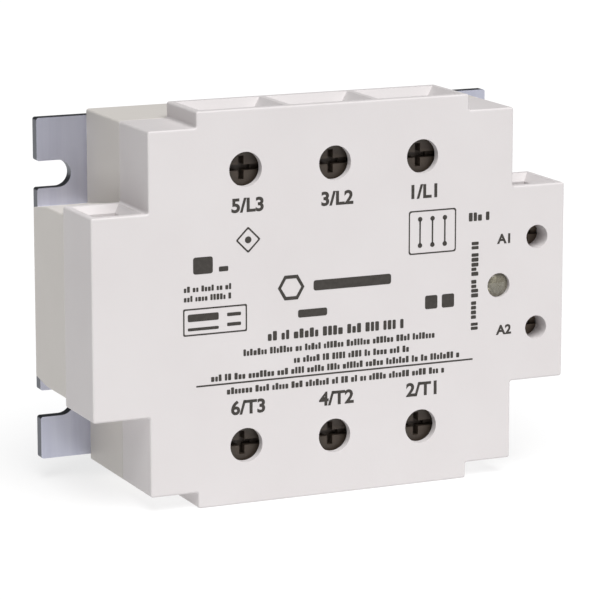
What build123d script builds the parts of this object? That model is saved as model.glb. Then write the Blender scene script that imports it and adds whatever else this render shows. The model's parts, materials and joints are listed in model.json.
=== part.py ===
from build123d import *
import os
from math import pi

# Three-pole panel-mounted solid state relay with saddle-clamp screw terminals. Millimetres.
# The relay is drawn lying on its back: x across, y up the panel, z out of the panel from the
# mounting face of its metal plate. upright() then stands it up, with its front face towards -Y.

# ---------------------------------------------------------------- terminal layout
PHASES = {"3": -1, "2": 0, "1": 1}   # phase number and its place across the relay
TERMINAL_PITCH = 19.4                # between neighbouring power terminals
ROW_Y = 27.94                        # power terminal rows above and below the centre line
CONTROL_ROW_Y = 9.525                # control terminals above and below the centre line

# ---------------------------------------------------------------- housing
DIVIDER = 1.2                        # web between two wire mouths
END_WALL = 1.3                       # web outside the last wire mouth
SHOULDER_WIDTH = 10.2                # middle block beyond the centre block, each side
WING_WIDTH = 12.0                    # wing beyond the middle block, each side
CENTRE_RISE = 12.06                  # top of the centre block above the terminal row
SHOULDER_STEP = 3.3                  # middle block below the top of the centre block
WING_RISE = 10.875                   # top of the wing above the control terminal
WING_STEP = 1.7                      # rear half of the wing below its front half
WING_RAMP = 1.4                      # slope of the rear half, down to the plate
WING_RAMP_DEPTH = 8.9                # how far in front of the plate the slope ends
COVER_DEPTH = 15.5
BASE_DEPTH = 18.3
FRONT_WALL = 1.6
COVER_WALL = 1.6
BASE_WALL = 2.0
BASE_SEAT = 2.0                      # width of the base's wall that rests on the plate
FUNNEL_REAR_WALL = 1.4
BULKHEAD = 1.4                       # web between the wire chambers and the electronics
CORNER_ROUND = 0.5
RIM_ROUND = 0.4
PARTING_BEVEL = 0.15                 # on both shells, which makes the fine line between them
WING_REAR_BEVEL = 1.0
DECK_THICK = 2.4
DECK_GAP = 1.0                       # terminal deck beyond the busbars' legs
DECK_OVERHANG = 1.2                  # terminal deck beyond the centre block, each side
DECK_WALL_SETBACK = 3.0              # deck's end walls beyond its inner edge
LATCH_WIDTH = 5.0
LATCH_ARM = 1.2
LATCH_REACH = 7.0                    # snap arm's end behind the parting plane
LATCH_HOOK = 0.9
LATCH_HOOK_LENGTH = 1.8
LATCH_POCKET_GAP = 0.2

# ---------------------------------------------------------------- mounting plate
PLATE_THICK = 2.3
PLATE_INSET_X = 1.2                  # plate inside the wings
PLATE_INSET_Y = 1.3                  # plate inside the middle block
SLOT_WIDTH = 5.6
SLOT_SPACING_Y = 47.6
SLOT_DEPTH = 4.5                     # plate end to the centre of the slot's round end
PLATE_ROUND = 0.5

# ---------------------------------------------------------------- power terminals
POWER_HOLE_R = 3.5                   # screwdriver hole in the front face
POWER_SCREW_R = 2.5
POWER_THREAD_PITCH = 0.8
POWER_TURNS = 6                      # from fully open to fully closed
POWER_HEAD_R = 4.1
POWER_HEAD_H = 3.0
POWER_ENGAGED = 4.9                  # screw below the busbar's top face when open
HEAD_CLEARANCE = 0.8                 # open screw head to the wall in front of it
CLAMP_THICK = 1.5
CLAMP_HALF_X = 7.9
CLAMP_HALF_Y = 6.0
CLAMP_LIP = 1.0                      # thickness of the bent-down side lips
CLAMP_LIP_DROP = 1.8
CLAMP_GUIDE_GAP = 0.4                # clamp to the walls that keep it from turning
BUSBAR_THICK = 1.5
BUSBAR_HALF_X = 6.0
BUSBAR_LEG_HALF_X = 4.0
BUSBAR_OUTER = 5.6                   # busbar beyond the screw, towards the wire
BUSBAR_FOOT = 4.0
COLLAR_R = 4.0                       # pressed collar that holds the thread
COLLAR_DROP = 2.4
PAD_RISE = 1.5                       # moulded pad under the busbar, above the parting plane
PAD_MARGIN = 0.5
CHAMBER_INNER = 7.9                  # chamber ends either side of the screw
CHAMBER_OUTER = 7.0
FUNNEL_DEPTH = 2.4
THROAT_HEIGHT = 7.4
WELL_WALL = 1.4
POWER_SLOT = 1.2
CLAMP_ROUND = 0.8
BUSBAR_BEND = 0.9

# ---------------------------------------------------------------- control terminals
CONTROL_HOLE_R = 2.45
CONTROL_TUBE = 4.5                   # screwdriver guide tube, from the front face
CONTROL_TUBE_WALL = 1.2
CONTROL_SCREW_R = 1.75
CONTROL_THREAD_PITCH = 0.6
CONTROL_TURNS = 6
CONTROL_HEAD_R = 3.0
CONTROL_HEAD_H = 2.2
CONTROL_ENGAGED = 2.6
CONTROL_HEAD_CLEARANCE = 0.6
CONTROL_CLAMP_THICK = 1.2
CONTROL_CLAMP_HALF = 3.7
CONTROL_BAR_THICK = 0.8
CONTROL_BAR_HALF = 3.2
CONTROL_TAIL_HALF = 1.5
CONTROL_COLLAR_R = 2.6
CONTROL_COLLAR_DROP = 1.6
CONTROL_PAD_RISE = 2.0
CONTROL_CHAMBER_HALF = 4.3
CONTROL_CHAMBER_INNER = 4.6
CONTROL_CHAMBER_OUTER = 5.4
CONTROL_MOUTH_WALL = 1.25            # wing's end wall beside the mouth
CONTROL_FUNNEL_DEPTH = 1.6
CONTROL_THROAT_HALF = 3.6
CONTROL_THROAT_HEIGHT = 5.0
CONTROL_MOUTH_LAP = 0.5              # mouth reaches into the middle block
CONTROL_DECK_MARGIN = 1.0
CONTROL_SLOT = 0.9
CONTROL_CLAMP_ROUND = 0.6
BLIND_THROAT = 3.0                   # unused entries in the left wing end here

# ---------------------------------------------------------------- screws, as shares of pitch or head
THREAD_DEPTH = 0.5
THREAD_CREST = (0.45, 0.55)
THREAD_RUNOUT = 1.5
HEAD_BEVEL = 0.12
SLOT_SHARE = 0.45                    # depth of the straight slot
CROSS_SHARE = 0.7                    # depth of the cross recess
CROSS_REACH = 0.58                   # half length of the cross recess

# ---------------------------------------------------------------- clearances
THREAD_CLEARANCE = 0.05              # screw in its tapped collar
SHANK_CLEARANCE = 0.3                # screw in its clamp plate
COLLAR_CLEARANCE = 0.2
SCREW_TIP_CLEARANCE = 0.6
SLIP = 0.3                           # loose pieces beside fixed ones
LEAD_CLEARANCE = 0.05                # round hole beside a lead's corner
TAIL_CLEARANCE = 0.1
OVERSHOOT = 1.0                      # cutting shapes beyond the faces that they open

# ---------------------------------------------------------------- electronics
COPPER = 0.3
CERAMIC = 0.63
TILE_HALF_X = 8.5
FOOT_MARGIN = 1.16                   # copper beyond a busbar's foot
TILE_MARGIN = 0.8
CHIP_SIZE = 8.5
CHIP_THICK = 0.4
CHIP_Y = 8.5
STRAP_WIDTH = 3.0
STRAP_X = 2.2
STRAP_THICK = 0.4
STRAP_RISE = 1.0
STRAP_INSET = 0.6                    # strap inside the chip's edges
STRAP_LANDING = (-3.6, -1.2)
PIN_R = 0.4
PIN_HOLE_R = 0.55
BOARD_THICK = 1.6
BOARD_DROP = 1.5                     # board's top face below the parting plane
BOARD_LEDGE = 2.0
LEDGE_LAP = 1.4                      # ledge beyond the board, into the housing's wall
PIN_STANDOUT = 1.2
GEL_DEPTH = 5.2
BEAD_WIDTH = 0.9
BEAD_HEIGHT = 0.7
LED_INSET = 3.0                      # lamp inside the edge of the middle block
LED_R = 2.5
LED_RECESS = 0.1                     # lens behind the front face
LED_CROWN = 0.8                      # rise of the lens above the barrel
LED_LENGTH = 8.6
LED_FLANGE_R = 2.95
LED_FLANGE_H = 1.0
LED_CLEARANCE = 0.05
LED_COLLAR = 4.0
LED_COLLAR_WALL = 1.2
LEAD_HALF = 0.25
LEAD_PITCH = 2.54
TAIL_INSET = 1.2                     # control bar's tail inside the board's end
CASE_BEVEL = 0.4
CASE_ROUND = 0.5
OPTO_SIZE = (6.4, 8.8, 3.5)
OPTO_STANDOFF = 0.6
SNUBBER_SIZE = (10.0, 3.6, 9.0)
SNUBBER_INSET = 2.34                 # snubbers inside the board's long edges
SNUBBER_LEAD_X = 3.75
SNUBBER_RESISTOR_LEAD_X = 5.6
RESISTOR_R = 1.5
RESISTOR_LIFT = 0.3
RESISTOR_WAIST = 0.84                # between the swollen ends
RESISTOR_END = 0.22                  # length of a swollen end, as a share
RECTIFIER_OUT_X = 10.2               # beyond the outer terminal, as are the next five
INPUT_CAP_OUT_X = 10.0
FILTER_CAP_OUT_X = 11.2
VARISTOR_OUT_X = 11.6
INPUT_RESISTOR_OUT_X = (13.6, 9.2)
RECTIFIER_Y = 3.4
RECTIFIER_SIZE = (7.3, 6.2, 3.2)
RECTIFIER_LEADS = (3.9, 1.9)
RECTIFIER_STANDOFF = 0.6
INPUT_CAP_Y = -9.0
INPUT_CAP_SIZE = (13.0, 6.0, 11.0)
INPUT_CAP_LEAD_X = 5.0
FILTER_CAP_Y = 11.6
FILTER_CAP_R = 3.15
FILTER_CAP_H = 9.0
FILTER_CAP_GROOVE = (1.2, 1.9)
FILTER_CAP_GROOVE_DEPTH = 0.35
VARISTOR_Y = -6.0
VARISTOR_R = 4.5
VARISTOR_THICK = 3.4
VARISTOR_ROUND = 1.0
VARISTOR_LIFT = 0.4
INPUT_RESISTOR_Y = 6.2
INPUT_RESISTOR_LEAD_Y = 5.6
CHIP_RESISTOR = (2.0, 1.25, 0.6)
CHIP_RESISTOR_X = 6.3
CHIP_RESISTOR_Y = 7.2

# ---------------------------------------------------------------- levels above the mounting face
PLATE_TOP = PLATE_THICK
PARTING = PLATE_TOP + BASE_DEPTH
FRONT = PARTING + COVER_DEPTH
CEILING = FRONT - FRONT_WALL
COPPER_TOP = PLATE_TOP + COPPER + CERAMIC + COPPER
CHIP_TOP = COPPER_TOP + CHIP_THICK
BOARD_TOP = PARTING - BOARD_DROP
BOARD_BOTTOM = BOARD_TOP - BOARD_THICK
PAD_TOP = PARTING + PAD_RISE
BUSBAR_TOP = PAD_TOP + BUSBAR_THICK
HEAD_TOP = CEILING - HEAD_CLEARANCE
HEAD_SEAT = HEAD_TOP - POWER_HEAD_H
CLAMP_BOTTOM = HEAD_SEAT - CLAMP_THICK
POWER_TIP = BUSBAR_TOP - POWER_ENGAGED
POWER_TRAVEL = POWER_TURNS * POWER_THREAD_PITCH
CONTROL_PAD_TOP = PARTING + CONTROL_PAD_RISE
CONTROL_BAR_TOP = CONTROL_PAD_TOP + CONTROL_BAR_THICK
CONTROL_HEAD_TOP = FRONT - CONTROL_TUBE - CONTROL_HEAD_CLEARANCE
CONTROL_HEAD_SEAT = CONTROL_HEAD_TOP - CONTROL_HEAD_H
CONTROL_CLAMP_BOTTOM = CONTROL_HEAD_SEAT - CONTROL_CLAMP_THICK
CONTROL_TIP = CONTROL_BAR_TOP - CONTROL_ENGAGED
CONTROL_TRAVEL = CONTROL_TURNS * CONTROL_THREAD_PITCH
OPTO_LEAD_TOP = BOARD_TOP + OPTO_STANDOFF + OPTO_SIZE[2] / 2
RESISTOR_LEVEL = BOARD_TOP + RESISTOR_R + RESISTOR_LIFT
RECTIFIER_LEVEL = BOARD_TOP + RECTIFIER_STANDOFF + RECTIFIER_SIZE[2] / 2
LED_BOTTOM = FRONT - LED_RECESS - LED_LENGTH

# ---------------------------------------------------------------- outline, as half sizes
MOUTH_HALF_X = (TERMINAL_PITCH - DIVIDER) / 2
CENTRE_X = TERMINAL_PITCH + MOUTH_HALF_X + END_WALL
MID_X = CENTRE_X + SHOULDER_WIDTH
WIDE_X = MID_X + WING_WIDTH
CENTRE_Y = ROW_Y + CENTRE_RISE
MID_Y = CENTRE_Y - SHOULDER_STEP
WIDE_Y = CONTROL_ROW_Y + WING_RISE
WIDE_REAR_Y = WIDE_Y - WING_STEP
PLATE_X = WIDE_X - PLATE_INSET_X
PLATE_Y = MID_Y - PLATE_INSET_Y

# ---------------------------------------------------------------- places shared by several pieces
CHAMBER_HALF_X = CLAMP_HALF_X + CLAMP_GUIDE_GAP
THROAT_HALF_X = CLAMP_HALF_X - CLAMP_LIP
CHAMBER_IN_Y = ROW_Y - CHAMBER_INNER
CHAMBER_OUT_Y = ROW_Y + CHAMBER_OUTER
THROAT_Y = CENTRE_Y - FUNNEL_DEPTH
BAY_X = MID_X - COVER_WALL
BAY_Y = CHAMBER_IN_Y - BULKHEAD
CONTROL_MOUTH_HALF = (WING_WIDTH - 2 * CONTROL_MOUTH_WALL + CONTROL_MOUTH_LAP) / 2
CONTROL_X = WIDE_X - CONTROL_MOUTH_WALL - CONTROL_MOUTH_HALF
CONTROL_THROAT_Y = WIDE_Y - CONTROL_FUNNEL_DEPTH
CONTROL_CHAMBER_OUT_Y = CONTROL_ROW_Y + CONTROL_CHAMBER_OUTER
CAVITY_X = MID_X - BASE_WALL
CAVITY_Y = PLATE_Y - BASE_SEAT
WING_CAVITY_X = PLATE_X - BASE_SEAT
WING_CAVITY_Y = WIDE_REAR_Y - WING_RAMP - BASE_WALL
LEG_OUTER_Y = BAY_Y - 2 * SLIP
LEG_INNER_Y = LEG_OUTER_Y - BUSBAR_THICK
TILE_HALF_Y = LEG_OUTER_Y + BUSBAR_FOOT + FOOT_MARGIN + TILE_MARGIN
DECK_IN_Y = LEG_OUTER_Y + DECK_GAP
DECK_WALL_Y = DECK_IN_Y + DECK_WALL_SETBACK
DECK_X = CENTRE_X + DECK_OVERHANG
BOARD_X = CAVITY_X - SLIP
BOARD_Y = LEG_INNER_Y - 2 * SLIP
TAIL_X = BOARD_X - TAIL_INSET
LED_X = MID_X - LED_INSET
OPTO_LEAD_X = OPTO_SIZE[0] / 2 + LEAD_HALF
SNUBBER_Y = BOARD_Y - SNUBBER_INSET
RECTIFIER_X = TERMINAL_PITCH + RECTIFIER_OUT_X
INPUT_CAP_X = TERMINAL_PITCH + INPUT_CAP_OUT_X
FILTER_CAP_X = TERMINAL_PITCH + FILTER_CAP_OUT_X
VARISTOR_X = -TERMINAL_PITCH - VARISTOR_OUT_X
INPUT_RESISTOR_X = [-TERMINAL_PITCH - out for out in INPUT_RESISTOR_OUT_X]


# ---------------------------------------------------------------- drawing helpers
def around(centre, half):
    """Low and high ends of a span of given half length."""
    return (centre - half, centre + half)


def block(x, y, z):
    """Box between a low and a high value along each axis."""
    size = (x[1] - x[0], y[1] - y[0], z[1] - z[0])
    return Pos(sum(x) / 2, sum(y) / 2, sum(z) / 2) * Box(*size)


def rod(radius, z, x=0.0, y=0.0):
    """Cylinder standing along z between two levels."""
    return Pos(x, y, sum(z) / 2) * Cylinder(radius, z[1] - z[0])


def outline(*halves):
    """Overlapping centred rectangles joined to one stepped outline."""
    shape = Sketch()
    for half_x, half_y in halves:
        shape += Rectangle(2 * half_x, 2 * half_y)
    return shape


def slab(shape, z):
    """Flat outline thickened between two levels."""
    return Pos(0, 0, z[0]) * extrude(shape, z[1] - z[0])


def hopper(x, half_mouth, half_throat, y, z_mouth, z_throat):
    """Funnel that narrows from a mouth at y[1] to a throat at y[0]."""
    ends = []
    for half, level, z in ((half_throat, y[0], z_throat), (half_mouth, y[1], z_mouth)):
        place = Plane(origin=(x, level, sum(z) / 2), x_dir=(1, 0, 0), z_dir=(0, 1, 0))
        ends.append(place * Rectangle(2 * half, z[1] - z[0]))
    return loft(Sketch() + ends)


def flipped(shape):
    """The same shape on the other side of the relay's centre line."""
    return mirror(shape, about=Plane.XZ)


def both_rows(shape):
    """A shape above the centre line together with its copy below."""
    return [shape, flipped(shape)]


def row_sides():
    """Row letter and the side of the centre line that it is on: line above, load below."""
    return {"L": 1, "T": -1}


def power_places():
    """Label, x and side of every power terminal."""
    for row, side in row_sides().items():
        for phase, column in PHASES.items():
            yield row + phase, column * TERMINAL_PITCH, side


def at_terminal(shape, x, side):
    """Piece drawn for the upper middle terminal, moved to its own place."""
    moved = Pos(x, 0, 0) * shape
    return moved if side > 0 else flipped(moved)


# ---------------------------------------------------------------- mounting plate
def base_plate():
    """Metal plate with four slots open to its left and right ends."""
    shape = Rectangle(2 * PLATE_X, 2 * PLATE_Y)
    reach = SLOT_DEPTH + OVERSHOOT
    for side_x in (-1, 1):
        for side_y in (-1, 1):
            centre = side_x * (PLATE_X - SLOT_DEPTH)
            level = side_y * SLOT_SPACING_Y / 2
            shape -= Pos(centre, level) * Circle(SLOT_WIDTH / 2)
            shape -= Pos(centre + side_x * reach / 2, level) * Rectangle(reach, SLOT_WIDTH)
    corners = [v for v in shape.vertices() if abs(abs(v.X) - PLATE_X) < 1e-6]
    return slab(fillet(corners, PLATE_ROUND), (0, PLATE_THICK))


def sealing_bead():
    """Ring of adhesive in the groove under the base housing's rim."""
    wall_inset = (BASE_WALL - BEAD_WIDTH) / 2
    seat_inset = (BASE_SEAT - BEAD_WIDTH) / 2
    inner_mid = (CAVITY_X + wall_inset, CAVITY_Y + seat_inset)
    inner_wide = (WING_CAVITY_X + seat_inset, WING_CAVITY_Y + wall_inset)
    ring = outline(*[(x + BEAD_WIDTH, y + BEAD_WIDTH) for x, y in (inner_mid, inner_wide)])
    ring -= outline(inner_mid, inner_wide)
    return slab(ring, (PLATE_TOP, PLATE_TOP + BEAD_HEIGHT))


# ---------------------------------------------------------------- base housing
def wing_bevel():
    """Wedge that slopes the rear edge of the right wing's end."""
    leg = WING_REAR_BEVEL + 2 * OVERSHOOT
    x = WIDE_X + OVERSHOOT
    z = PLATE_TOP - OVERSHOOT
    wedge = make_face(Polyline([(x, 0, z), (x, 0, z + leg), (x - leg, 0, z)], close=True))
    return extrude(wedge, WIDE_REAR_Y + OVERSHOOT, both=True)


def wing_ramp():
    """Wedge that slopes the rear of the right wing's upper face down to the plate."""
    top = WIDE_REAR_Y + CORNER_ROUND
    slope = WING_RAMP_DEPTH / WING_RAMP
    foot = PLATE_TOP - slope * OVERSHOOT
    low = WIDE_REAR_Y - WING_RAMP - OVERSHOOT
    x = MID_X
    corners = [(x, low, foot), (x, top, foot), (x, top, foot + slope * (top - low))]
    return extrude(make_face(Polyline(corners, close=True)), WING_WIDTH + OVERSHOOT, dir=(1, 0, 0))


def base_shell():
    """Stepped tube open at the front and at the back."""
    shape = outline((WIDE_X, WIDE_REAR_Y), (MID_X, MID_Y))
    body = slab(fillet(shape.vertices(), CORNER_ROUND), (PLATE_TOP, PARTING))
    body = chamfer(body.edges().group_by(Axis.Z)[-1], PARTING_BEVEL)
    upper = wing_ramp()
    for wedge in (wing_bevel(), upper, flipped(upper)):
        body -= [wedge, mirror(wedge, about=Plane.YZ)]
    cavity = outline((CAVITY_X, CAVITY_Y), (WING_CAVITY_X, WING_CAVITY_Y))
    return body - slab(cavity, (PLATE_TOP, PARTING))


def terminal_deck():
    """Shelf over the power modules, with its end walls and one pad and post per terminal."""
    deck_y = (DECK_IN_Y, CAVITY_Y)
    pieces = [block((-DECK_X, DECK_X), deck_y, (PARTING - DECK_THICK, PARTING))]
    for side in (-1, 1):
        wall_x = sorted((side * DECK_X, side * (DECK_X - BULKHEAD)))
        pieces.append(block(wall_x, (DECK_WALL_Y, CAVITY_Y), (PLATE_TOP, PARTING)))
    well_floor = POWER_TIP - POWER_TRAVEL - SCREW_TIP_CLEARANCE
    collar_floor = PAD_TOP - COLLAR_DROP - COLLAR_CLEARANCE
    collar_r = COLLAR_R + COLLAR_CLEARANCE
    pad_y = (CHAMBER_IN_Y + SLIP, ROW_Y + BUSBAR_OUTER + PAD_MARGIN)
    wells = []
    for column in PHASES.values():
        x = column * TERMINAL_PITCH
        pieces.append(rod(collar_r + WELL_WALL, (well_floor - WELL_WALL, PARTING), x, ROW_Y))
        pieces.append(block(around(x, BUSBAR_HALF_X + PAD_MARGIN), pad_y, (PARTING, PAD_TOP)))
        wells.append(rod(collar_r, (collar_floor, PAD_TOP), x, ROW_Y))
        wells.append(rod(POWER_SCREW_R + SLIP, (well_floor, PAD_TOP), x, ROW_Y))
    return pieces, wells


def control_deck():
    """Shelf in the right wing with one pad and post for its control terminal."""
    deck_x = (CONTROL_X - CONTROL_CHAMBER_HALF - CONTROL_DECK_MARGIN, WING_CAVITY_X)
    deck_y = (CONTROL_ROW_Y - CONTROL_CHAMBER_INNER, WING_CAVITY_Y)
    well_floor = CONTROL_TIP - CONTROL_TRAVEL - SCREW_TIP_CLEARANCE
    collar_floor = CONTROL_PAD_TOP - CONTROL_COLLAR_DROP - COLLAR_CLEARANCE
    collar_r = CONTROL_COLLAR_R + COLLAR_CLEARANCE
    pad_half = CONTROL_CHAMBER_HALF - SLIP
    pieces = [
        block(deck_x, deck_y, (PARTING - DECK_THICK, PARTING)),
        rod(collar_r + WELL_WALL, (well_floor - WELL_WALL, PARTING), CONTROL_X, CONTROL_ROW_Y),
        block(around(CONTROL_X, pad_half), around(CONTROL_ROW_Y, pad_half), (PARTING, CONTROL_PAD_TOP)),
    ]
    wells = [
        rod(collar_r, (collar_floor, CONTROL_PAD_TOP), CONTROL_X, CONTROL_ROW_Y),
        rod(CONTROL_SCREW_R + SLIP, (well_floor, CONTROL_PAD_TOP), CONTROL_X, CONTROL_ROW_Y),
    ]
    return pieces, wells


def board_ledges():
    """Four corner ledges that the control board rests on."""
    ledges = []
    for side in (-1, 1):
        x = sorted((side * (CAVITY_X - BOARD_LEDGE), side * CAVITY_X))
        y = (BOARD_Y - BOARD_LEDGE, max(BOARD_Y, WING_CAVITY_Y) + LEDGE_LAP)
        ledges += both_rows(block(x, y, (BOARD_BOTTOM - BOARD_LEDGE, BOARD_BOTTOM)))
    return ledges


def latch_spans():
    """Place of the upper right snap arm: x span, arm's y span, and level of its hook."""
    x = around((DECK_X + CAVITY_X) / 2, LATCH_WIDTH / 2)
    y = (CAVITY_Y - SLIP - LATCH_ARM, CAVITY_Y - SLIP)
    hook_level = (PARTING - LATCH_REACH, PARTING - LATCH_REACH + LATCH_HOOK_LENGTH)
    return x, y, hook_level


def four_corners(shape):
    """A shape in the upper right corner together with its copies in the other three."""
    right = both_rows(shape)
    return right + [mirror(one, about=Plane.YZ) for one in right]


def latch_recess():
    """Blind pocket in the base's wall that a snap arm's hook springs into."""
    x, y, hook = latch_spans()
    depth = LATCH_HOOK - SLIP + LATCH_POCKET_GAP
    return block((x[0] - SLIP, x[1] + SLIP), (CAVITY_Y, CAVITY_Y + depth), (hook[0] - SLIP, hook[1] + SLIP))


def base_housing():
    """Rear moulding that holds the power modules, the board and the terminals."""
    decks, wells = terminal_deck()
    control_decks, control_wells = control_deck()
    body = base_shell()
    for piece in decks + control_decks:
        body += both_rows(piece)
    body += board_ledges()
    for well in wells + control_wells:
        body -= both_rows(well)
    body -= four_corners(latch_recess())
    return body - sealing_bead()


# ---------------------------------------------------------------- front cover
def cover_block():
    """Solid stepped block with its front rim and corners rounded."""
    shape = outline((WIDE_X, WIDE_Y), (MID_X, MID_Y), (CENTRE_X, CENTRE_Y))
    body = slab(fillet(shape.vertices(), CORNER_ROUND), (PARTING, FRONT))
    body = fillet(body.edges().group_by(Axis.Z)[-1], RIM_ROUND)
    return chamfer(body.edges().group_by(Axis.Z)[0], PARTING_BEVEL)


def power_entry():
    """Wire mouth, throat and clamp chamber of the upper middle terminal, as one void."""
    mouth_z = (PARTING + FUNNEL_REAR_WALL, CEILING)
    throat_z = (BUSBAR_TOP, BUSBAR_TOP + THROAT_HEIGHT)
    chamber_y = (CHAMBER_IN_Y, CHAMBER_OUT_Y)
    return [
        hopper(0, MOUTH_HALF_X, THROAT_HALF_X, (THROAT_Y, CENTRE_Y), mouth_z, throat_z),
        block(around(0, THROAT_HALF_X), (CHAMBER_OUT_Y, THROAT_Y), throat_z),
        block(around(0, CHAMBER_HALF_X), chamber_y, (PARTING, CEILING)),
        block(around(0, BUSBAR_HALF_X + PAD_MARGIN), (BAY_Y, CHAMBER_IN_Y), (PARTING, BUSBAR_TOP + SLIP)),
        rod(POWER_HOLE_R, (CEILING, FRONT), 0, ROW_Y),
    ]


def control_entry():
    """Wire mouth and throat above a control terminal."""
    mouth_z = (PARTING + FUNNEL_REAR_WALL, CEILING)
    throat_z = (CONTROL_BAR_TOP, CONTROL_BAR_TOP + CONTROL_THROAT_HEIGHT)
    span = (CONTROL_THROAT_Y, WIDE_Y)
    mouth = hopper(CONTROL_X, CONTROL_MOUTH_HALF, CONTROL_THROAT_HALF, span, mouth_z, throat_z)
    return mouth, throat_z


def control_chamber():
    """Right-hand control terminal's voids: mouth, throat, chamber, and slot for its tail."""
    mouth, throat_z = control_entry()
    chamber_y = (CONTROL_ROW_Y - CONTROL_CHAMBER_INNER, CONTROL_CHAMBER_OUT_Y)
    chamber = block(around(CONTROL_X, CONTROL_CHAMBER_HALF), chamber_y, (PARTING, CEILING))
    guide_r = CONTROL_HOLE_R + CONTROL_TUBE_WALL
    chamber -= rod(guide_r, (FRONT - CONTROL_TUBE, CEILING), CONTROL_X, CONTROL_ROW_Y)
    tail_x = (BAY_X, CONTROL_X - CONTROL_CHAMBER_HALF)
    tail_y = around(CONTROL_ROW_Y, CONTROL_TAIL_HALF + SLIP)
    return [
        mouth,
        block(around(CONTROL_X, CONTROL_THROAT_HALF), (CONTROL_CHAMBER_OUT_Y, CONTROL_THROAT_Y), throat_z),
        chamber,
        block(tail_x, tail_y, (PARTING, CONTROL_BAR_TOP + SLIP)),
        rod(CONTROL_HOLE_R, (FRONT - CONTROL_TUBE, FRONT), CONTROL_X, CONTROL_ROW_Y),
    ]


def blind_entry():
    """Unused left-hand entry: the same mouth with a closed throat."""
    mouth, throat_z = control_entry()
    throat_y = (CONTROL_THROAT_Y - BLIND_THROAT, CONTROL_THROAT_Y)
    throat = block(around(CONTROL_X, CONTROL_THROAT_HALF), throat_y, throat_z)
    return [mirror(one, about=Plane.YZ) for one in (mouth, throat)]


def cover_bays():
    """Voids of the cover's middle: electronics, lamp niche, corner cells and left wing."""
    corner_x = (CENTRE_X + COVER_WALL, BAY_X)
    corner_y = (CHAMBER_IN_Y, MID_Y - COVER_WALL)
    wing_x = (-(WIDE_X - COVER_WALL), -(BAY_X + BULKHEAD))
    wing_y = around(0, CONTROL_THROAT_Y - BLIND_THROAT - COVER_WALL)
    depth = (PARTING, CEILING)
    bays = [
        block(around(0, BAY_X), around(0, BAY_Y), depth),
        block((0, LED_X + LED_FLANGE_R + 2 * SLIP), around(0, LED_FLANGE_R + 2 * SLIP), depth),
        block(wing_x, wing_y, depth),
    ]
    return bays + four_corners(block(corner_x, corner_y, depth))


def snap_arm():
    """Arm from the cover's front wall, with a hook that faces the base's wall."""
    x, y, hook = latch_spans()
    arm = block(x, y, (hook[0], CEILING))
    return arm + block(x, (y[1], y[1] + LATCH_HOOK), hook)


def front_cover():
    """Front moulding with the wire entries, screwdriver holes and lamp hole."""
    body = cover_block()
    for bay in cover_bays():
        body -= bay
    for column in PHASES.values():
        for void in power_entry():
            body -= both_rows(Pos(column * TERMINAL_PITCH, 0, 0) * void)
    for void in control_chamber() + blind_entry():
        body -= both_rows(void)
    body += rod(LED_R + LED_COLLAR_WALL, (FRONT - LED_COLLAR, CEILING), LED_X, 0)
    body -= rod(LED_R + LED_CLEARANCE, (FRONT - LED_COLLAR, FRONT), LED_X, 0)
    return body + four_corners(snap_arm())


# ---------------------------------------------------------------- screws and clamps
def screw(radius, pitch, tip, seat, head_r, head_h, slot):
    """Recessed-head screw whose thread is drawn as rings one pitch apart."""
    core = radius - THREAD_DEPTH * pitch
    neck = seat - THREAD_RUNOUT * pitch
    points = [(0, tip), (core, tip)]
    level = tip
    while level + pitch <= neck:
        points += [(radius, level + share * pitch) for share in THREAD_CREST]
        points.append((core, level + pitch))
        level += pitch
    points += [(core, seat), (0, seat)]
    profile = make_face(Polyline([(x, 0, z) for x, z in points], close=True))
    head = chamfer(Cylinder(head_r, head_h).edges().group_by(Axis.Z)[-1], HEAD_BEVEL * head_h)
    head = Pos(0, 0, seat + head_h / 2) * head
    top = seat + head_h
    head -= block(around(0, head_r), around(0, slot / 2), (top - SLOT_SHARE * head_h, top))
    cross = CROSS_REACH * head_r
    for span_x, span_y in ((cross, slot / 2), (slot / 2, cross)):
        head -= block(around(0, span_x), around(0, span_y), (top - CROSS_SHARE * head_h, top))
    return revolve(profile, Axis.Z) + head


def power_screw():
    """M5 terminal screw at its open height."""
    body = screw(
        POWER_SCREW_R, POWER_THREAD_PITCH, POWER_TIP, HEAD_SEAT, POWER_HEAD_R, POWER_HEAD_H, POWER_SLOT
    )
    return Pos(0, ROW_Y, 0) * body


def control_screw():
    """M3.5 terminal screw at its open height."""
    body = screw(
        CONTROL_SCREW_R,
        CONTROL_THREAD_PITCH,
        CONTROL_TIP,
        CONTROL_HEAD_SEAT,
        CONTROL_HEAD_R,
        CONTROL_HEAD_H,
        CONTROL_SLOT,
    )
    return Pos(CONTROL_X, CONTROL_ROW_Y, 0) * body


def power_clamp():
    """Saddle plate under the screw head, with two side lips bent towards the busbar."""
    plate = block(around(0, CLAMP_HALF_X), around(ROW_Y, CLAMP_HALF_Y), (CLAMP_BOTTOM, HEAD_SEAT))
    for side in (-1, 1):
        lip_x = sorted((side * CLAMP_HALF_X, side * (CLAMP_HALF_X - CLAMP_LIP)))
        lip_z = (CLAMP_BOTTOM - CLAMP_LIP_DROP, CLAMP_BOTTOM)
        plate += block(lip_x, around(ROW_Y, CLAMP_HALF_Y), lip_z)
    plate = fillet(plate.edges().filter_by(Axis.Y).group_by(Axis.Z)[-1], CLAMP_ROUND)
    return plate - rod(POWER_SCREW_R + SHANK_CLEARANCE, (CLAMP_BOTTOM, HEAD_SEAT), 0, ROW_Y)


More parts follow.
